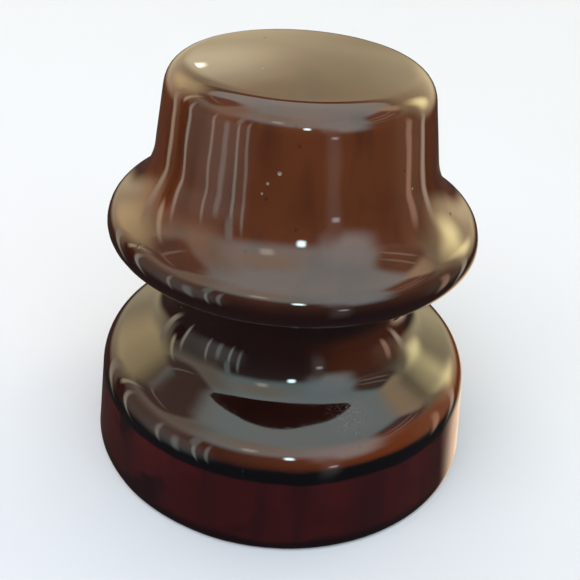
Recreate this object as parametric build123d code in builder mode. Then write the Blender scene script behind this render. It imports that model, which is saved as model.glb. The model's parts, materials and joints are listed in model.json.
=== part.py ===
from build123d import *
import os

# Pin-type fence insulator: a glazed porcelain shell with a threaded thimble cemented in its socket.
# Millimetres, +Z up. The origin is the centre of the foot, on the plane that it stands on.
# Every piece is turned about Z, so each profile is drawn in the XZ plane as (radius, height).

# Outside of the porcelain, from the crown down. Heights are those of the corners before rounding.
TOTAL_HEIGHT = 82.5
DOME_RISE = 1.7
CROWN_RADIUS = 24.0
CROWN_ROUND = 5.5
SWEEP_RADIUS = 27.6
SWEEP_HEIGHT = 58.1
SWEEP_ROUND = 15.5
FLANGE_RADIUS = 36.0
FLANGE_TOP_HEIGHT = 52.9
FLANGE_TOP_ROUND = 4.8
FLANGE_BOTTOM_HEIGHT = 46.0
FLANGE_BOTTOM_ROUND = 3.2
NECK_RADIUS = 23.8
NECK_TOP_HEIGHT = 49.0
NECK_TOP_ROUND = 3.5
NECK_BOTTOM_HEIGHT = 28.4
NECK_BOTTOM_ROUND = 10.0
SHOULDER_RADIUS = 38.1
SHOULDER_HEIGHT = 21.0
SHOULDER_ROUND = 7.8
FOOT_RADIUS = 40.1
FOOT_OUTER_ROUND = 1.0

# Underside: a hollow that sheds rain, round a boss that stops short of the foot
FOOT_INNER_RADIUS = 31.5
FOOT_INNER_ROUND = 1.5
HOLLOW_OUTER_RADIUS = 30.6
HOLLOW_INNER_RADIUS = 20.6
HOLLOW_HEIGHT = 14.5
HOLLOW_ROUND = 4.5
BOSS_RADIUS = 19.4
BOSS_HEIGHT = 5.0
BOSS_ROUND = 2.0

# Socket up the boss, ringed with grooves that key the cement
SOCKET_RADIUS = 12.5
SOCKET_MOUTH_ROUND = 0.8
SOCKET_END_HEIGHT = 58.0
SOCKET_END_ROUND = 3.0
SOCKET_GROOVE_HEIGHTS = (16.0, 28.0, 40.0)
SOCKET_GROOVE_DEPTH = 0.8
SOCKET_GROOVE_WIDTH = 3.0

# Thimble, bored to the minor diameter of an M16 x 2 internal thread and ringed with grooves outside
THREAD_MINOR_RADIUS = 6.92
THREAD_ENTRY_CHAMFER = 1.5
THIMBLE_RADIUS = 10.0
THIMBLE_BOTTOM_HEIGHT = 4.0
THIMBLE_TOP_HEIGHT = 54.0
THIMBLE_END_THICKNESS = 3.0
THIMBLE_EDGE_ROUND = 0.5
THIMBLE_GROOVE_HEIGHTS = (13.0, 24.0, 35.0, 46.0)
THIMBLE_GROOVE_DEPTH = 0.7
THIMBLE_GROOVE_WIDTH = 2.6

# Cushion over the thimble's closed end, and the seal over the cement at the socket's mouth
CUSHION_RADIUS = SOCKET_RADIUS - SOCKET_END_ROUND
SEAL_BOTTOM_HEIGHT = 6.0
SEAL_TOP_HEIGHT = 8.0
SEAL_HOLLOWING = 0.5

os.makedirs("parts", exist_ok=True)


def grooved_wall(radius, groove_heights, depth, width):
    """Points down a round wall's grooves. A positive depth cuts outwards, a negative one inwards."""
    points = []
    for height in sorted(groove_heights, reverse=True):
        points.append((radius, height + width / 2))
        points.append((radius + depth, height + width / 6))
        points.append((radius + depth, height - width / 6))
        points.append((radius, height - width / 2))
    return points


socket_grooves = grooved_wall(
    SOCKET_RADIUS, SOCKET_GROOVE_HEIGHTS, SOCKET_GROOVE_DEPTH, SOCKET_GROOVE_WIDTH
)
thimble_grooves = grooved_wall(
    THIMBLE_RADIUS, THIMBLE_GROOVE_HEIGHTS, -THIMBLE_GROOVE_DEPTH, THIMBLE_GROOVE_WIDTH
)

# Glazed porcelain body: (radius, height, rounding) from the crown's edge down the outside, round the
# foot, through the hollow, over the boss and up the socket to its closed end
crown_to_foot = [
    (CROWN_RADIUS, TOTAL_HEIGHT - DOME_RISE, CROWN_ROUND),
    (SWEEP_RADIUS, SWEEP_HEIGHT, SWEEP_ROUND),
    (FLANGE_RADIUS, FLANGE_TOP_HEIGHT, FLANGE_TOP_ROUND),
    (FLANGE_RADIUS, FLANGE_BOTTOM_HEIGHT, FLANGE_BOTTOM_ROUND),
    (NECK_RADIUS, NECK_TOP_HEIGHT, NECK_TOP_ROUND),
    (NECK_RADIUS, NECK_BOTTOM_HEIGHT, NECK_BOTTOM_ROUND),
    (SHOULDER_RADIUS, SHOULDER_HEIGHT, SHOULDER_ROUND),
    (FOOT_RADIUS, 0, FOOT_OUTER_ROUND),
]
foot_to_socket = [
    (FOOT_INNER_RADIUS, 0, FOOT_INNER_ROUND),
    (HOLLOW_OUTER_RADIUS, HOLLOW_HEIGHT, HOLLOW_ROUND),
    (HOLLOW_INNER_RADIUS, HOLLOW_HEIGHT, HOLLOW_ROUND),
    (BOSS_RADIUS, BOSS_HEIGHT, BOSS_ROUND),
    (SOCKET_RADIUS, BOSS_HEIGHT, SOCKET_MOUTH_ROUND),
]
socket_end = (SOCKET_RADIUS, SOCKET_END_HEIGHT, SOCKET_END_ROUND)
rounded_corners = crown_to_foot + foot_to_socket + [socket_end]
outline_corners = [(radius, height) for radius, height, _ in crown_to_foot + foot_to_socket]

with BuildPart() as porcelain_body:
    with BuildSketch(Plane.XZ) as shell_section:
        with BuildLine():
            dome = TangentArc((0, TOTAL_HEIGHT), outline_corners[0], tangent=(1, 0))
            Polyline(
                *outline_corners,
                *reversed(socket_grooves),
                (SOCKET_RADIUS, SOCKET_END_HEIGHT),
                (0, SOCKET_END_HEIGHT),
                dome @ 0,
            )
        make_face()
        for radius, height, rounding in rounded_corners:
            corner = shell_section.vertices().sort_by_distance((radius, height))[0]
            fillet(corner, radius=rounding)
    revolve(axis=Axis.Z)
porcelain_body.part.label = "porcelain_body"

# Threaded thimble: a closed cup, bored from below
with BuildPart() as threaded_thimble:
    with BuildSketch(Plane.XZ) as thimble_section:
        with BuildLine():
            bore_end_height = THIMBLE_TOP_HEIGHT - THIMBLE_END_THICKNESS
            Polyline(
                (0, THIMBLE_TOP_HEIGHT),
                (THIMBLE_RADIUS, THIMBLE_TOP_HEIGHT),
                *thimble_grooves,
                (THIMBLE_RADIUS, THIMBLE_BOTTOM_HEIGHT),
                (THREAD_MINOR_RADIUS, THIMBLE_BOTTOM_HEIGHT),
                (THREAD_MINOR_RADIUS, bore_end_height),
                (0, bore_end_height),
                close=True,
            )
        make_face()
        mouth_corners = thimble_section.vertices().group_by(Axis.Y)[0].sort_by(Axis.X)
        chamfer(mouth_corners[0], length=THREAD_ENTRY_CHAMFER)
        fillet(mouth_corners[-1], radius=THIMBLE_EDGE_ROUND)
    revolve(axis=Axis.Z)
threaded_thimble.part.label = "threaded_thimble"

# Cement sleeve: fills the socket round the thimble and the cushion, down to the seal
with BuildPart() as cement_sleeve:
    with BuildSketch(Plane.XZ) as sleeve_section:
        with BuildLine():
            Polyline(
                (CUSHION_RADIUS, SOCKET_END_HEIGHT),
                (SOCKET_RADIUS, SOCKET_END_HEIGHT),
                *socket_grooves,
                (SOCKET_RADIUS, SEAL_TOP_HEIGHT),
                (THIMBLE_RADIUS, SEAL_TOP_HEIGHT),
                *reversed(thimble_grooves),
                (THIMBLE_RADIUS, THIMBLE_TOP_HEIGHT),
                (CUSHION_RADIUS, THIMBLE_TOP_HEIGHT),
                close=True,
            )
        make_face()
        end_corner = sleeve_section.vertices().sort_by_distance((SOCKET_RADIUS, SOCKET_END_HEIGHT))[0]
        fillet(end_corner, radius=SOCKET_END_ROUND)
    revolve(axis=Axis.Z)
cement_sleeve.part.label = "cement_sleeve"

# Cork cushion: a plain disc between the thimble and the end of the socket
with BuildPart() as cork_cushion:
    with BuildSketch(Plane.XY.offset(THIMBLE_TOP_HEIGHT)):
        Circle(CUSHION_RADIUS)
    extrude(amount=SOCKET_END_HEIGHT - THIMBLE_TOP_HEIGHT)
cork_cushion.part.label = "cork_cushion"

# Bitumen seal: a ring poured over the cement, hollowed where it wets both walls
with BuildPart() as bitumen_seal:
    with BuildSketch(Plane.XZ):
        with BuildLine():
            Polyline(
                (THIMBLE_RADIUS, SEAL_BOTTOM_HEIGHT),
                (THIMBLE_RADIUS, SEAL_TOP_HEIGHT),
                (SOCKET_RADIUS, SEAL_TOP_HEIGHT),
                (SOCKET_RADIUS, SEAL_BOTTOM_HEIGHT),
            )
            SagittaArc(
                (SOCKET_RADIUS, SEAL_BOTTOM_HEIGHT), (THIMBLE_RADIUS, SEAL_BOTTOM_HEIGHT), -SEAL_HOLLOWING
            )
        make_face()
    revolve(axis=Axis.Z)
bitumen_seal.part.label = "bitumen_seal"

for piece in (porcelain_body, threaded_thimble, cement_sleeve, cork_cushion, bitumen_seal):
    export_step(piece.part, f"parts/{piece.part.label}.step")
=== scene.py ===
import json
import math

import bmesh
import bpy
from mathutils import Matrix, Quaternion, Vector, noise


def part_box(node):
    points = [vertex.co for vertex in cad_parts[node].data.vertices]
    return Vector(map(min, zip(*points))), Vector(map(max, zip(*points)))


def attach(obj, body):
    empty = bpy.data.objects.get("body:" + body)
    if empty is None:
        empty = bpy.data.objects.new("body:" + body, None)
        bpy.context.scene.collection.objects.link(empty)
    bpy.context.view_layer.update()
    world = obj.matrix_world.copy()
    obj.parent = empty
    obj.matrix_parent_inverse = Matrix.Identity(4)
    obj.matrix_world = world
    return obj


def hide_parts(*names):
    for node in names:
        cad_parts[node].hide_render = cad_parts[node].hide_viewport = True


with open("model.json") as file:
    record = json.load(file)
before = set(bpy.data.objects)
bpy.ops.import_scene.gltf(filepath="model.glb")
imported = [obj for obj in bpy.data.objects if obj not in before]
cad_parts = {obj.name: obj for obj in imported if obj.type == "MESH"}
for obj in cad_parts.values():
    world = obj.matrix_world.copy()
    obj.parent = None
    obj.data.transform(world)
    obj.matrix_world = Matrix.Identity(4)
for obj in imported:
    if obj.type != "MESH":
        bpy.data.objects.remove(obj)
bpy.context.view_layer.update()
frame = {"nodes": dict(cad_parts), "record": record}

# The glazed fence insulator, stood on a pale floor under soft studio light. Metres, +Z up.
MM = 0.001
BODY = "root"

PORCELAIN_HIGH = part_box("porcelain_body")[1]
THIMBLE_LOW, THIMBLE_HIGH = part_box("threaded_thimble")
SEAL_LOW, SEAL_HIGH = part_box("bitumen_seal")
PIN_THREAD = next(m for m in frame["record"]["mounts"] if m["name"] == "pin_thread")

# Porcelain outline, as (radius, height, rounding) in millimetres. The grooves key the cement.
TOTAL_HEIGHT = PORCELAIN_HIGH.z / MM
DOME_RISE = 1.7
CROWN_RADIUS = 24.0
FLANGE_BOTTOM_HEIGHT = 46.0
SOCKET_RADIUS = 12.5
OUTSIDE_CORNERS = [
    (CROWN_RADIUS, TOTAL_HEIGHT - DOME_RISE, 5.5),
    (27.6, 58.1, 15.5),
    (36.0, 52.9, 4.8),
    (36.0, FLANGE_BOTTOM_HEIGHT, 3.2),
    (23.8, 49.0, 3.5),
    (23.8, 28.4, 10.0),
    (38.1, 21.0, 7.8),
    (40.1, 0.0, 1.0),
]
UNDERSIDE_CORNERS = [
    (31.5, 0.0, 1.5),
    (30.6, 14.5, 4.5),
    (20.6, 14.5, 4.5),
    (19.4, 5.0, 2.0),
    (SOCKET_RADIUS, 5.0, 0.8),
]
SOCKET_END_HEIGHT = 58.0
SOCKET_END_ROUND = 3.0
SOCKET_GROOVES = (16.0, 28.0, 40.0)
THIMBLE_GROOVES = (13.0, 24.0, 35.0, 46.0)

# A drip of glaze down the skirt, past the inner radius: compass azimuth in degrees, then millimetres
DRIP_AZIMUTH = -8.5
DRIP_TOP = 19.0
DRIP_BOTTOM = 6.0
DRIP_HALF_WIDTH = 0.30
DRIP_HEIGHT = 0.16
DRIP_INNER_RADIUS = 35.0

# Small faults of making, in millimetres: how far the crown leans, the depth of the oval, soft waves as
# (depth, size), and the radii between which the oval and the waves fade in
CROWN_LEAN = (-0.46, -0.14, 0.0)
OVAL_DEPTH = 0.10
WAVES = ((0.08, 14.0), (0.04, 6.0))
FAULTS_FADE_IN = (14.0, 24.0)


# ---------------------------------------------------------------- outline and mesh helpers
def smoothstep(value, low, high):
    """0 below low, 1 above high, and a smooth rise between."""
    t = min(max((value - low) / (high - low), 0.0), 1.0)
    return t * t * (3 - 2 * t)


def straight(start, end, spacing):
    """Points after start, up to and including end, no further apart than spacing."""
    count = max(1, math.ceil((end - start).length / spacing))
    return [start.lerp(end, (k + 1) / count) for k in range(count)]


def arc(centre, start, end, spacing):
    """Points after start, up to and including end, on the shorter arc round centre."""
    spoke = start - centre
    turn = -spoke.angle_signed(end - centre)
    steps = max(4, math.ceil(abs(turn) * spoke.length / spacing))
    points = []
    for k in range(1, steps + 1):
        cosine, sine = math.cos(turn * k / steps), math.sin(turn * k / steps)
        turned = (spoke.x * cosine - spoke.y * sine, spoke.x * sine + spoke.y * cosine)
        points.append(centre + Vector(turned))
    return points


def rounded_outline(corners, spacing):
    """Evenly spaced points along straight lines with rounded corners, from the first corner to the last."""
    points = [Vector(corner[:2]) for corner in corners]
    outline = [points[0]]
    for before, corner, after, (_, _, rounding) in zip(points, points[1:], points[2:], corners[1:]):
        inward = (before - corner).normalized()
        outward = (after - corner).normalized()
        half_angle = inward.angle(outward) / 2
        centre = corner + (inward + outward).normalized() * rounding / math.sin(half_angle)
        arc_start = corner + inward * rounding / math.tan(half_angle)
        arc_end = corner + outward * rounding / math.tan(half_angle)
        outline += straight(outline[-1], arc_start, spacing)
        outline += arc(centre, arc_start, arc_end, spacing)
    return outline + straight(outline[-1], points[-1], spacing)


def domed_crown(spacing):
    """Points from the middle of the dome to the start of the crown wall's straight run."""
    rim = Vector((CROWN_RADIUS, TOTAL_HEIGHT - DOME_RISE))
    wall = Vector(OUTSIDE_CORNERS[1][:2]) - rim
    rounding = OUTSIDE_CORNERS[0][2]
    dome_radius = (CROWN_RADIUS ** 2 + DOME_RISE ** 2) / (2 * DOME_RISE)
    dome_centre = Vector((0, TOTAL_HEIGHT - dome_radius))
    along = wall.normalized()
    outward = Vector((-along.y, along.x))
    start = rim - outward * rounding - dome_centre
    forward = start.dot(along)
    reach = math.sqrt(forward ** 2 - start.length_squared + (dome_radius - rounding) ** 2)
    centre = dome_centre + start - along * (forward + reach)
    dome_end = centre + (centre - dome_centre).normalized() * rounding
    top = Vector((0, TOTAL_HEIGHT))
    outline = [top] + arc(dome_centre, top, dome_end, spacing)
    return outline + arc(centre, dome_end, centre + outward * rounding, spacing)


def grooves(radius, heights, depth, width):
    """Points up a round wall's grooves. A positive depth cuts outwards, a negative one inwards."""
    points = []
    for height in heights:
        for offset, cut in ((-width / 2, 0), (-width / 6, depth), (width / 6, depth), (width / 2, 0)):
            points.append(Vector((radius + cut, height + offset)))
    return points


def compass_angle(azimuth):
    """Angle about Z, from +X, of a compass azimuth in degrees: 0 at the viewer's side, 90 at the right."""
    return math.radians((azimuth - 90) % 360)


def even_angles(count):
    return [2 * math.pi * k / count for k in range(count)]


def ring_mesh(name, rings):
    """A piece skinned over rings of points. A ring of one point closes the skin."""
    build = bmesh.new()
    rows = [[build.verts.new(point) for point in ring] for ring in rings]
    for upper, lower in zip(rows, rows[1:]):
        count = max(len(upper), len(lower))
        for k in range(count):
            j = (k + 1) % count
            if len(upper) == 1:
                build.faces.new((upper[0], lower[k], lower[j]))
            elif len(lower) == 1:
                build.faces.new((upper[k], lower[0], upper[j]))
            else:
                build.faces.new((upper[k], lower[k], lower[j], upper[j]))
    bmesh.ops.recalc_face_normals(build, faces=build.faces)
    mesh = bpy.data.meshes.new(name)
    build.to_mesh(mesh)
    build.free()
    mesh.shade_smooth()
    piece = bpy.data.objects.new(name, mesh)
    bpy.context.scene.collection.objects.link(piece)
    return piece


def turned_rings(outline, angles, shape):
    """Rings about Z from (radius, height) points in millimetres. shape moves each point, in metres."""
    rings = []
    for radius, height in outline:
        turns = angles if radius > 1e-6 else angles[:1]
        spots = [Vector((radius * math.cos(a), radius * math.sin(a), height)) * MM for a in turns]
        rings.append([shape(spot) for spot in spots])
    return rings


def stand_in(piece, material, node):
    """Puts a piece in the place of a CAD node."""
    piece.data.materials.append(material)
    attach(piece, BODY)
    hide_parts(node)


# ---------------------------------------------------------------- material helpers
class Nodes:
    """Short ways to add arithmetic and colour nodes to a tree."""

    def __init__(self, tree):
        self.tree = tree

    def link(self, source, target):
        self.tree.links.new(source, target)

    def put(self, value, socket):
        """Links a node's output to a socket, or sets the socket to a constant."""
        if isinstance(value, bpy.types.NodeSocket):
            self.link(value, socket)
        else:
            socket.default_value = value

    def math(self, operation, a, b=0.0, c=0.0):
        node = self.tree.nodes.new("ShaderNodeMath")
        node.operation = operation
        for value, socket in zip((a, b, c), node.inputs):
            self.put(value, socket)
        return node.outputs[0]

    def product(self, first, *others):
        for other in others:
            first = self.math("MULTIPLY", first, other)
        return first

    def ramp(self, value, low, high, out_low=0.0, out_high=1.0):
        """A smooth step from out_low to out_high as value goes from low to high."""
        node = self.tree.nodes.new("ShaderNodeMapRange")
        node.interpolation_type = "SMOOTHSTEP"
        for socket, given in zip(node.inputs, (value, low, high, out_low, out_high)):
            self.put(given, socket)
        return node.outputs[0]

    def band(self, value, centre, half_width, softness):
        """1 within half_width of centre, falling to 0 over softness."""
        distance = self.math("ABSOLUTE", self.math("SUBTRACT", value, centre))
        return self.ramp(distance, half_width, half_width + softness, 1.0, 0.0)

    def mix(self, factor, a, b):
        node = self.tree.nodes.new("ShaderNodeMix")
        node.data_type = "RGBA"
        self.put(factor, node.inputs["Factor"])
        self.put(a, node.inputs["A"])
        self.put(b, node.inputs["B"])
        return node.outputs["Result"]

    def compass(self, x, y):
        """Azimuth in degrees, 0 at the viewer's side and 90 at the viewer's right."""
        toward_viewer = self.math("MULTIPLY", y, -1.0)
        return self.math("MULTIPLY", self.math("ARCTAN2", x, toward_viewer), 180 / math.pi)


class Shader(Nodes):
    """A new material with a Principled shader, whose pattern is set out in the part's own frame."""

    def __init__(self, name):
        self.material = bpy.data.materials.new(name)
        self.material.use_nodes = True
        super().__init__(self.material.node_tree)
        self.principled = self.tree.nodes["Principled BSDF"]
        self.position = self.tree.nodes.new("ShaderNodeTexCoord").outputs["Object"]
        split = self.tree.nodes.new("ShaderNodeSeparateXYZ")
        self.link(self.position, split.inputs[0])
        x, y, self.height = split.outputs
        self.to_right = x
        self.radius = self.math("SQRT", self.math("ADD", self.product(x, x), self.product(y, y)))
        self.azimuth = self.compass(x, y)

    def noise(self, size, detail=2.0, roughness=0.5, stretch=(1.0, 1.0, 1.0)):
        """Noise from 0 to 1 with features about size metres across."""
        scale = self.tree.nodes.new("ShaderNodeVectorMath")
        scale.operation = "MULTIPLY"
        self.link(self.position, scale.inputs[0])
        scale.inputs[1].default_value = stretch
        node = self.tree.nodes.new("ShaderNodeTexNoise")
        self.link(scale.outputs[0], node.inputs["Vector"])
        node.inputs["Scale"].default_value = 1 / size
        node.inputs["Detail"].default_value = detail
        node.inputs["Roughness"].default_value = roughness
        return node.outputs["Fac"]

    def cells(self, size):
        """A cell pattern about size metres across: its Distance output is in cell sizes."""
        node = self.tree.nodes.new("ShaderNodeTexVoronoi")
        self.link(self.position, node.inputs["Vector"])
        node.inputs["Scale"].default_value = 1 / size
        return node

    def spot(self, place, radius, softness):
        """1 within radius of a place on the part, falling to 0 over softness."""
        node = self.tree.nodes.new("ShaderNodeVectorMath")
        node.operation = "DISTANCE"
        self.link(self.position, node.inputs[0])
        node.inputs[1].default_value = place
        return self.ramp(node.outputs["Value"], radius, radius + softness, 1.0, 0.0)

    def set(self, **values):
        """Principled inputs by name, with spaces written as underscores."""
        for name, value in values.items():
            self.put(value, self.principled.inputs[name.replace("_", " ")])

    def bump(self, height, distance):
        """Adds a bump layer; height runs from 0 to 1 and stands for distance metres."""
        node = self.tree.nodes.new("ShaderNodeBump")
        node.inputs["Distance"].default_value = distance
        self.link(height, node.inputs["Height"])
        below = self.principled.inputs["Normal"]
        if below.links:
            self.link(below.links[0].from_socket, node.inputs["Normal"])
        self.link(node.outputs["Normal"], below)


def rgb(red, green, blue):
    return (red, green, blue, 1.0)


# ---------------------------------------------------------------- materials
def on_surface(azimuth, radius, height):
    """A place on the part, from compass azimuth in degrees and radius and height in millimetres."""
    angle = math.radians(azimuth)
    return Vector((radius * math.sin(angle), -radius * math.cos(angle), height)) * MM


# Faults in the glaze: (azimuth, radius, height, size), in degrees and millimetres. Specks and pits are
# painted pale: dust on the specks, a painted glint on the pits
PITS = [
    (-6.1, 25.7, 70.9, 0.26),
    (-10.1, 25.9, 69.0, 0.16),
    (-11.9, 26.1, 67.2, 0.13),
    (49.0, 26.2, 66.0, 0.14),
]
SPECKS = [
    (-40.0, 11.0, 82.4, 0.18),
    (-51.5, 33.0, 24.3, 0.22),
    (33.0, 14.0, 82.2, 0.12),
    (-20.0, 32.0, 55.2, 0.10),
]
SMUDGE = (24.0, 31.4, 24.6, 1.2)


def glaze_colour(s):
    """Brown on the crown, wine on the skirt; orange where it runs thin on the shoulder's edge. Painted warm
    light makes that orange strongest on the right and adds an orange patch on the neck's right; painted shade
    darkens the crown's top, the flange, neck and shoulder, and blotches on the skirt's left; near black in a
    band below the shoulder's edge and towards the foot.
    """
    clouds = s.noise(0.022, detail=3.0)
    runs = s.noise(0.0055, detail=3.0, stretch=(1.0, 1.0, 0.10))
    brown = s.mix(s.ramp(clouds, 0.35, 0.7), rgb(0.060, 0.0140, 0.0045), rgb(0.084, 0.0205, 0.0065))
    brown = s.mix(s.ramp(runs, 0.46, 0.68, 0.0, 0.55), brown, rgb(0.030, 0.0075, 0.0030))
    dark = s.mix(s.ramp(clouds, 0.3, 0.7), rgb(0.008, 0.0024, 0.0022), rgb(0.013, 0.0032, 0.0024))
    wine = s.mix(s.ramp(clouds, 0.3, 0.7), rgb(0.024, 0.0028, 0.0034), rgb(0.040, 0.0045, 0.0050))
    wine = s.mix(s.ramp(runs, 0.45, 0.7, 0.0, 0.5), wine, rgb(0.010, 0.0030, 0.0040))
    # Painted shade: the crown's top darker against the strong light from above, and the flange, neck and
    # shoulder darker, most of all below the flange's lip.
    crown_top_painted_shade = s.ramp(s.height, 77.5 * MM, 81.5 * MM)
    flange_painted_shade = s.ramp(s.height, 54.5 * MM, 60.0 * MM, 1.0, 0.0)
    below_lip_painted_shade = s.ramp(s.height, 50.5 * MM, 56.0 * MM, 1.0, 0.0)
    colour = s.mix(s.product(crown_top_painted_shade, 0.6), brown, dark)
    colour = s.mix(s.math("MAXIMUM", s.product(flange_painted_shade, 0.5), below_lip_painted_shade), colour, dark)
    colour = s.mix(s.ramp(s.height, 16 * MM, 19 * MM, 1.0, 0.0), colour, wine)
    # Orange where the glaze runs thin on the shoulder's edge, with painted warm light making it strongest on
    # the right side; the orange patch on the neck's right is painted warm light too.
    warm_lit_right_side = s.ramp(s.to_right, -25 * MM, 28 * MM, 0.08, 1.0)
    thin_and_warm_lit_shoulder = s.product(s.band(s.height, 20.4 * MM, 0.7 * MM, 1.7 * MM), warm_lit_right_side)
    neck_foot = s.band(s.height, 32.0 * MM, 2.0 * MM, 4.0 * MM)
    warm_lit_neck_patch = s.product(neck_foot, s.band(s.azimuth, 45.0, 15.0, 25.0), 0.5)
    colour = s.mix(s.math("MAXIMUM", thin_and_warm_lit_shoulder, warm_lit_neck_patch), colour, rgb(0.090, 0.017, 0.0035))
    # Painted shade: dark blotches, mostly on the skirt's left. Near black in a band just below the shoulder's
    # edge and towards the foot.
    blotches = s.ramp(s.noise(0.011, detail=3.0), 0.48, 0.62)
    mostly_left = s.ramp(s.to_right, -25 * MM, 5 * MM, 0.8, 0.3)
    shaded = s.product(blotches, mostly_left, s.ramp(s.height, 18 * MM, 20 * MM, 1.0, 0.0))
    band_height = s.math("MULTIPLY_ADD", s.noise(0.012), 1.6 * MM, s.height)
    under_shoulder = s.band(band_height, 17.9 * MM, 1.0 * MM, 0.8 * MM)
    near_black_band_and_foot = s.math("MAXIMUM", under_shoulder, s.ramp(band_height, 2.2 * MM, 4.6 * MM, 0.9, 0.0))
    colour = s.mix(s.math("MAXIMUM", shaded, near_black_band_and_foot), colour, rgb(0.0010, 0.0011, 0.0017))
    iron = s.ramp(s.cells(0.0042).outputs["Distance"], 0.05, 0.10, 0.5, 0.0)
    return s.mix(iron, colour, rgb(0.010, 0.005, 0.004))


def make_glaze():
    """Glossy brown glaze with pits and dust, and painted glints in the pits, stopping at a bare ring of clay
    on the foot.
    """
    s = Shader("brown_glaze")
    grit = s.noise(0.00045, detail=3.0)
    colour = glaze_colour(s)
    # Pale spots: dust on the specks and the smudge, and painted glints on the pits.
    specks = [s.spot(on_surface(a, r, z), size * MM, 0.16 * MM) for a, r, z, size in SPECKS + PITS]
    dusty = specks[0]
    for speck in specks[1:]:
        dusty = s.math("MAXIMUM", dusty, speck)
    azimuth, radius, height, size = SMUDGE
    smudge_shape = s.spot(on_surface(azimuth, radius, height), size * MM, 4.5 * MM)
    smudge = s.product(smudge_shape, s.ramp(grit, 0.48, 0.75))
    dusty = s.math("MAXIMUM", s.product(dusty, 0.6), s.product(smudge, 0.14))
    colour = s.mix(dusty, colour, rgb(0.30, 0.27, 0.22))
    bare_height = s.math("MULTIPLY_ADD", s.noise(0.004), -0.5 * MM, s.height)
    bare = s.ramp(bare_height, 0.10 * MM, 0.22 * MM, 1.0, 0.0)
    clay = s.mix(s.noise(0.0015, detail=4.0), rgb(0.42, 0.36, 0.29), rgb(0.56, 0.50, 0.42))
    handled = s.ramp(s.noise(0.016, detail=5.0, roughness=0.65), 0.52, 0.75, 0.035, 0.11)
    gloss = s.ramp(dusty, 0.0, 0.6, handled, 0.45)
    s.set(Base_Color=s.mix(bare, colour, clay), Roughness=s.ramp(bare, 0.0, 1.0, gloss, 0.85), IOR=1.52)
    s.bump(s.noise(0.010, detail=1.0), 0.05 * MM)
    s.bump(s.noise(0.0016, detail=2.0), 0.0022 * MM)
    pitted = s.cells(0.0125)
    s.bump(s.ramp(pitted.outputs["Distance"], 0.015, 0.045), 0.10 * MM)
    for azimuth, radius, height, size in PITS:
        s.bump(s.spot(on_surface(azimuth, radius, height), size * 0.5 * MM, size * 0.6 * MM), -0.15 * MM)
    s.bump(s.product(s.noise(0.0006, detail=3.0), bare), 0.06 * MM)
    return s.material


def make_steel():
    """Galvanised steel: dull grey spangle, with a little white bloom."""
    s = Shader("galvanised_steel")
    spangle = s.cells(0.0035).outputs["Color"]
    grey = s.mix(spangle, rgb(0.36, 0.37, 0.38), rgb(0.52, 0.53, 0.54))
    bloom = s.ramp(s.noise(0.004, detail=5.0), 0.55, 0.72)
    colour = s.mix(s.product(bloom, 0.5), grey, rgb(0.62, 0.62, 0.60))
    s.set(Base_Color=colour, Metallic=0.9, Roughness=s.ramp(bloom, 0.0, 1.0, 0.32, 0.65))
    s.bump(s.noise(0.0005, detail=3.0), 0.012 * MM)
    return s.material


def make_cement():
    """Portland cement grout: pale grey with sand grains and small voids."""
    s = Shader("cement")
    grain = s.noise(0.0007, detail=4.0)
    colour = s.mix(grain, rgb(0.30, 0.285, 0.26), rgb(0.52, 0.50, 0.46))
    voids = s.ramp(s.cells(0.0022).outputs["Distance"], 0.08, 0.16, 1.0, 0.0)
    s.set(Base_Color=s.mix(voids, colour, rgb(0.12, 0.11, 0.10)))
    s.set(Roughness=s.ramp(grain, 0.2, 0.8, 0.8, 0.95))
    s.bump(grain, 0.08 * MM)
    return s.material


def make_cork():
    """Pressed cork granules with dark binder between them."""
    s = Shader("cork")
    granules = s.cells(0.0018)
    colour = s.mix(granules.outputs["Color"], rgb(0.30, 0.165, 0.075), rgb(0.50, 0.32, 0.17))
    binder = s.ramp(granules.outputs["Distance"], 0.45, 0.7)
    s.set(Base_Color=s.mix(binder, colour, rgb(0.10, 0.05, 0.025)))
    s.set(Roughness=s.ramp(binder, 0.0, 1.0, 0.75, 0.9))
    s.bump(granules.outputs["Distance"], 0.1 * MM)
    return s.material


def make_bitumen():
    """Poured bitumen: black, with a skin that is shiny in places and dusty in others."""
    s = Shader("bitumen")
    dust = s.ramp(s.noise(0.003, detail=4.0), 0.5, 0.75)
    s.set(Base_Color=s.mix(dust, rgb(0.008, 0.0075, 0.007), rgb(0.05, 0.045, 0.04)))
    s.set(Roughness=s.ramp(dust, 0.0, 1.0, 0.22, 0.6))
    s.bump(s.noise(0.0018, detail=2.0), 0.08 * MM)
    return s.material


def make_floor_paint():
    """Matt pale studio board."""
    s = Shader("studio_board")
    mottle = s.noise(0.05, detail=3.0)
    s.set(Base_Color=s.mix(mottle, rgb(0.43, 0.42, 0.49), rgb(0.45, 0.44, 0.51)))
    s.set(Roughness=s.ramp(mottle, 0.3, 0.7, 0.82, 0.9))
    return s.material


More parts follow.
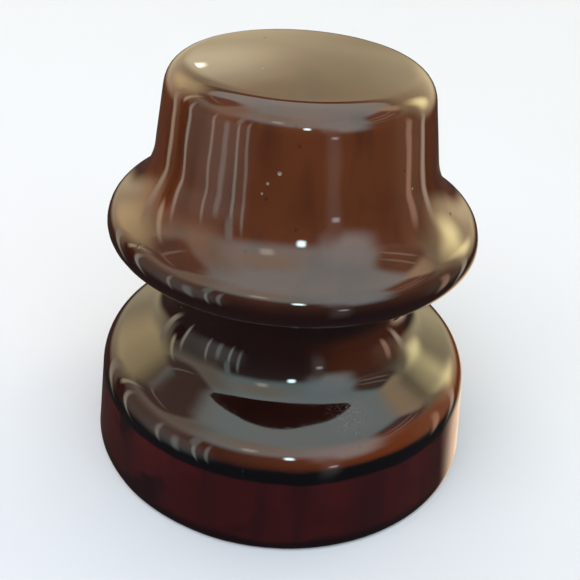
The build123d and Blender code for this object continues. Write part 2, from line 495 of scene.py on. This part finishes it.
# ---------------------------------------------------------------- pieces
def hand_made(point):
    """Small faults of a turned, dipped and fired piece: a leaning crown, an oval, a soft wave and a drip."""
    radius = math.hypot(point.x, point.y)
    if radius < (SOCKET_RADIUS + 1) * MM and point.z < (SOCKET_END_HEIGHT + 1) * MM:
        return point
    lean = smoothstep(point.z, FLANGE_BOTTOM_HEIGHT * MM, PORCELAIN_HIGH.z)
    leant = point + Vector(CROWN_LEAN) * MM * lean
    if radius < 1e-6:
        return leant
    angle = math.atan2(point.y, point.x)
    wide = smoothstep(radius, FAULTS_FADE_IN[0] * MM, FAULTS_FADE_IN[1] * MM)
    oval = OVAL_DEPTH * MM * math.cos(2 * angle + 0.6)
    wave = sum(depth * MM * noise.noise(point / (size * MM)) for depth, size in WAVES)
    wander = 0.25 * MM * noise.noise(Vector((0, 0, point.z / (5 * MM))))
    turn = math.remainder(angle - compass_angle(DRIP_AZIMUTH), 2 * math.pi)
    across = 1 - smoothstep(abs(turn * radius + wander), 0.0, DRIP_HALF_WIDTH * MM)
    down = smoothstep(point.z, DRIP_BOTTOM * MM, (DRIP_BOTTOM + 2) * MM)
    down *= 1 - smoothstep(point.z, (DRIP_TOP - 3) * MM, DRIP_TOP * MM)
    drip = DRIP_HEIGHT * MM * across * down if radius > DRIP_INNER_RADIUS * MM else 0.0
    return leant + Vector((point.x, point.y, 0)).normalized() * ((oval + wave) * wide + drip)


def make_porcelain(material):
    """The glazed shell, with a much finer surface than the CAD solid that it stands for."""
    outside_spacing, hollow_spacing, socket_end_spacing = 0.8, 1.2, 4.0
    below_first_groove = 12.0
    outline = domed_crown(outside_spacing)
    outside = [(*outline[-1], 0)] + OUTSIDE_CORNERS[1:] + UNDERSIDE_CORNERS[:1]
    outline += rounded_outline(outside, outside_spacing)[1:-1]
    inside = OUTSIDE_CORNERS[-1:] + UNDERSIDE_CORNERS + [(SOCKET_RADIUS, below_first_groove, 0)]
    hollow = rounded_outline(inside, hollow_spacing)
    outline += hollow[1:] + grooves(SOCKET_RADIUS, SOCKET_GROOVES, 0.8, 3.0)
    end = [(*outline[-1], 0), (SOCKET_RADIUS, SOCKET_END_HEIGHT, SOCKET_END_ROUND), (0, SOCKET_END_HEIGHT, 0)]
    outline += rounded_outline(end, socket_end_spacing)[1:]
    drip = compass_angle(DRIP_AZIMUTH)
    close_columns = [drip + math.radians(0.13) * (k + 0.5) for k in range(-9, 9)]
    angles = sorted(even_angles(288) + close_columns)
    rings = turned_rings(outline, angles, hand_made)
    stand_in(ring_mesh("glazed_porcelain_body", rings), material, "porcelain_body")


def make_thimble(material):
    """The thimble, with a real M16 x 2 helix in its bore where the CAD solid has a plain wall."""
    minor = PIN_THREAD["dims"]["r_mm"]
    pitch = 2.0
    runout = 3.0
    chamfer = 1.5
    end_thickness = 3.0
    nominal_radius = 8.0
    thread_depth = nominal_radius - minor
    rows_per_pitch = 14
    outer = THIMBLE_HIGH.x / MM
    mouth = THIMBLE_LOW.z / MM
    top = THIMBLE_HIGH.z / MM
    bore_end = top - end_thickness

    def bore_radius(height, angle):
        phase = ((height / pitch - angle / (2 * math.pi)) % 1.0) * 2 - 1
        crest = min(max(1.25 - abs(phase) * 1.6, 0.0), 1.0)
        fade = smoothstep(bore_end - height, 0.0, runout)
        return max(minor + thread_depth * (1 - crest) * fade, minor + chamfer - (height - mouth))

    outside = [(outer - 0.5, mouth), (outer - 0.15, mouth + 0.15), (outer, mouth + 0.5)]
    outside += grooves(outer, THIMBLE_GROOVES, -0.7, 2.6)
    outside += [(outer, top), (0, top)]
    angles = even_angles(96)
    rings = turned_rings(reversed(outside), angles, Vector.copy)
    rows = round((bore_end - mouth) / pitch * rows_per_pitch)
    for row in range(rows + 1):
        height = mouth + (bore_end - mouth) * row / rows
        ring = []
        for a in angles:
            radius = bore_radius(height, a)
            ring.append(Vector((radius * math.cos(a), radius * math.sin(a), height)) * MM)
        rings.append(ring)
    rings.append([Vector((0, 0, bore_end)) * MM])
    stand_in(ring_mesh("tapped_thimble", rings), material, "threaded_thimble")


def make_seal(material):
    """The bitumen ring, with the uneven face that it sets to when poured."""
    inner, outer = THIMBLE_HIGH.x / MM, SEAL_HIGH.x / MM
    low, high = SEAL_LOW.z / MM, SEAL_HIGH.z / MM
    hollowing = 0.5
    steps = 12
    outline = [(inner, high), (inner, low)]
    for k in range(1, steps):
        share = k / steps
        outline.append((inner + (outer - inner) * share, low + hollowing * (1 - (2 * share - 1) ** 2)))
    outline += [(outer, low), (outer, high), (inner, high)]
    half_width = (outer - inner) / 2 * MM

    def poured(point):
        from_middle = abs(math.hypot(point.x, point.y) - inner * MM - half_width)
        uneven = 0.25 * MM * (1 - from_middle / half_width) * noise.noise(point / (3 * MM))
        return point + Vector((0, 0, uneven if point.z < (high - 0.5) * MM else 0))

    rings = turned_rings(outline, even_angles(144), poured)
    stand_in(ring_mesh("poured_seal", rings), material, "bitumen_seal")


def repaint(node, material):
    """Gives a CAD node that keeps its own mesh a better material."""
    mesh = frame["nodes"][node].data
    mesh.materials.clear()
    mesh.materials.append(material)


# ---------------------------------------------------------------- stage, light and camera
def make_floor():
    build = bmesh.new()
    bmesh.ops.create_circle(build, cap_ends=True, segments=96, radius=3.0)
    mesh = bpy.data.meshes.new("floor")
    build.to_mesh(mesh)
    build.free()
    floor = bpy.data.objects.new("floor", mesh)
    bpy.context.scene.collection.objects.link(floor)
    mesh.materials.append(make_floor_paint())
    floor.visible_glossy = False


def direction(azimuth, elevation):
    """Unit vector towards a compass azimuth and an elevation, in degrees."""
    a, e = compass_angle(azimuth), math.radians(elevation)
    return Vector((math.cos(a) * math.cos(e), math.sin(a) * math.cos(e), math.sin(e)))


def make_key_light():
    """One large soft light above the left. It is left out of reflections, where the panels are seen."""
    lamp = bpy.data.lights.new("key", "AREA")
    lamp.shape = "DISK"
    lamp.size = 0.5
    lamp.energy = 2.2
    azimuth, elevation, distance = -50, 58, 0.8
    holder = bpy.data.objects.new("key", lamp)
    toward = direction(azimuth, elevation)
    holder.location = toward * distance
    holder.rotation_mode = "QUATERNION"
    holder.rotation_quaternion = toward.to_track_quat("Z", "Y")
    holder.visible_camera = False
    holder.visible_glossy = False
    bpy.context.scene.collection.objects.link(holder)


# Soft panels of the studio: (azimuth, half width, elevation, half height, softness, colour). Angles are
# in degrees and softness is a share of the panel's size.
PANELS = [
    (-146, 36, 18, 24, 0.35, (1.30, 1.10, 0.70)),
    (-128, 14, 27, 15, 0.70, (3.3, 2.6, 1.4)),
    (-168, 7, 21, 6, 0.90, (2.4, 2.1, 1.4)),
    (-168, 0.8, 21, 0.9, 0.60, (7.5, 7.2, 5.8)),
    (-80, 32, 3, 18, 0.60, (0.55, 0.53, 0.45)),
    (-78, 26, 42, 20, 0.60, (1.7, 1.55, 1.2)),
    (-22, 26, 52, 10, 0.60, (2.3, 2.25, 1.85)),
    (42, 19, 35, 19, 0.50, (2.1, 2.8, 2.9)),
    (98, 16, 0, 16, 0.60, (0.42, 0.35, 0.27)),
    (-97, 17, 48, 14, 0.30, (0.60, 0.40, 0.32)),
    (88, 20, 38, 12, 0.30, (0.60, 0.42, 0.34)),
    (112, 8, 44, 9, 0.60, (3.6, 2.6, 1.6)),
    (-101, 13, 45, 0.9, 0.50, (1.6, 1.4, 1.1)),
    (84, 15, 34, 0.8, 0.50, (2.0, 1.7, 1.4)),
    (88, 16, 40, 0.8, 0.50, (1.7, 1.5, 1.3)),
    (-104, 6, -5, 15, 0.30, (0.04, 0.03, 0.03)),
    (-118, 3, -2, 22, 0.50, (1.5, 1.35, 1.0)),
    (-106, 1.8, 20, 14, 0.50, (3.2, 2.8, 1.9)),
    (-96, 1.6, -3, 19, 0.60, (2.4, 2.3, 2.0)),
    (-58, 19, -3, 15, 0.60, (0.68, 0.76, 0.72)),
    (-69, 1.3, -2, 17, 0.60, (2.6, 2.5, 2.2)),
    (-57, 2.2, -6, 14, 0.60, (1.8, 2.0, 1.9)),
    (-46, 1.1, -4, 17, 0.60, (2.6, 2.8, 2.6)),
    (-38, 1.2, 2, 19, 0.60, (1.8, 2.1, 2.0)),
    (-47, 2.6, 22, 13, 0.50, (1.3, 1.8, 1.7)),
    (-19, 5, 40, 3.5, 0.60, (4.6, 4.7, 4.1)),
    (7, 3.0, 28, 3.2, 0.60, (20, 27, 28)),
    (30, 5, 0, 22, 0.80, (0.62, 0.62, 0.60)),
    (31, 2.4, 1, 2.6, 0.70, (4.6, 4.9, 5.6)),
    (98, 3, -6, 15, 0.50, (2.4, 1.5, 1.1)),
    (117, 3, -4, 20, 0.60, (1.9, 1.7, 1.3)),
    (140, 28, 20, 26, 0.35, (1.80, 1.50, 0.90)),
    (126, 6.5, 19, 11, 0.90, (7.6, 6.5, 3.3)),
    (146, 18, -38, 12, 0.60, (1.5, 1.1, 0.78)),
]


def make_world():
    """The studio: cream wall behind, pale ceiling above, dim room in front and below, and soft panels."""
    world = bpy.data.worlds.new("studio")
    bpy.context.scene.world = world
    world.use_nodes = True
    sky = Nodes(world.node_tree)
    background = world.node_tree.nodes["Background"]
    split = world.node_tree.nodes.new("ShaderNodeSeparateXYZ")
    sky.link(world.node_tree.nodes.new("ShaderNodeTexCoord").outputs["Generated"], split.inputs[0])
    x, y, z = split.outputs
    azimuth = sky.compass(x, y)
    elevation = sky.math("MULTIPLY", sky.math("ARCSINE", z), 180 / math.pi)

    def climb(value, stops):
        """A colour that changes with a value, smoothly from stop to stop of (value, colour)."""
        colour = rgb(*stops[0][1])
        for (low, _), (high, target) in zip(stops, stops[1:]):
            colour = sky.mix(sky.ramp(value, low, high), colour, rgb(*target))
        return colour

    front = climb(elevation, [
        (-30, (0.085, 0.070, 0.078)),
        (6, (0.12, 0.12, 0.12)),
        (24, (0.20, 0.20, 0.19)),
        (38, (1.8, 2.4, 2.4)),
        (70, (2.3, 2.8, 2.75)),
        (90, (2.6, 2.8, 2.6)),
    ])
    off_centre = sky.math("WRAP", sky.math("SUBTRACT", azimuth, 180.0), 180.0, -180.0)
    wall_height = sky.math("MULTIPLY_ADD", sky.product(off_centre, off_centre), 0.0018, elevation)
    back = climb(wall_height, [
        (-8, (0.06, 0.045, 0.04)),
        (6, (0.50, 0.42, 0.26)),
        (14, (0.80, 0.74, 0.46)),
        (27, (1.05, 0.98, 0.60)),
        (41, (1.75, 1.60, 1.00)),
        (43, (0.22, 0.10, 0.08)),
        (49.5, (0.30, 0.20, 0.17)),
        (53, (2.2, 2.4, 2.2)),
        (70, (2.5, 2.8, 2.6)),
    ])
    light = sky.mix(sky.ramp(y, -0.15, 0.45), front, back)
    for centre, half_width, middle, half_height, softness, colour in PANELS:
        turn = sky.math("WRAP", sky.math("SUBTRACT", azimuth, centre), 180.0, -180.0)
        rise = sky.math("SUBTRACT", elevation, middle)
        wide = sky.math("POWER", sky.math("ABSOLUTE", sky.math("DIVIDE", turn, half_width)), 3.0)
        tall = sky.math("POWER", sky.math("ABSOLUTE", sky.math("DIVIDE", rise, half_height)), 3.0)
        out = sky.math("POWER", sky.math("ADD", wide, tall), 1 / 3)
        light = sky.mix(sky.ramp(out, 1 - softness, 1 + softness, 1.0, 0.0), light, rgb(*colour))
    path = world.node_tree.nodes.new("ShaderNodeLightPath")
    sky.link(sky.mix(path.outputs["Is Camera Ray"], light, rgb(0.9, 0.9, 0.9)), background.inputs["Color"])


def make_camera():
    """Close above the front, leaning a little, as the object is seen from about two foot widths away."""
    camera = bpy.data.cameras.new("camera")
    camera.sensor_width = 36.0
    camera.lens = 51.9
    camera.shift_y = -0.052
    holder = bpy.data.objects.new("camera", camera)
    elevation, distance, roll = 29.47, 168.1, 4.12
    aim = Vector((-0.13, 0.0, 39.8)) * MM
    pivot = Vector((0.0, 0.0, 45.0)) * MM
    holder.location = pivot + direction(0.0, elevation) * distance * MM
    look = (aim - holder.location).to_track_quat("-Z", "Y")
    holder.rotation_mode = "QUATERNION"
    holder.rotation_quaternion = look @ Quaternion((0, 0, 1), math.radians(roll))
    bpy.context.scene.collection.objects.link(holder)
    bpy.context.scene.camera = holder


make_porcelain(make_glaze())
make_thimble(make_steel())
make_seal(make_bitumen())
repaint("cement_sleeve", make_cement())
repaint("cork_cushion", make_cork())
make_floor()
make_world()
make_key_light()
make_camera()
bpy.context.scene.view_settings.view_transform = "Standard"
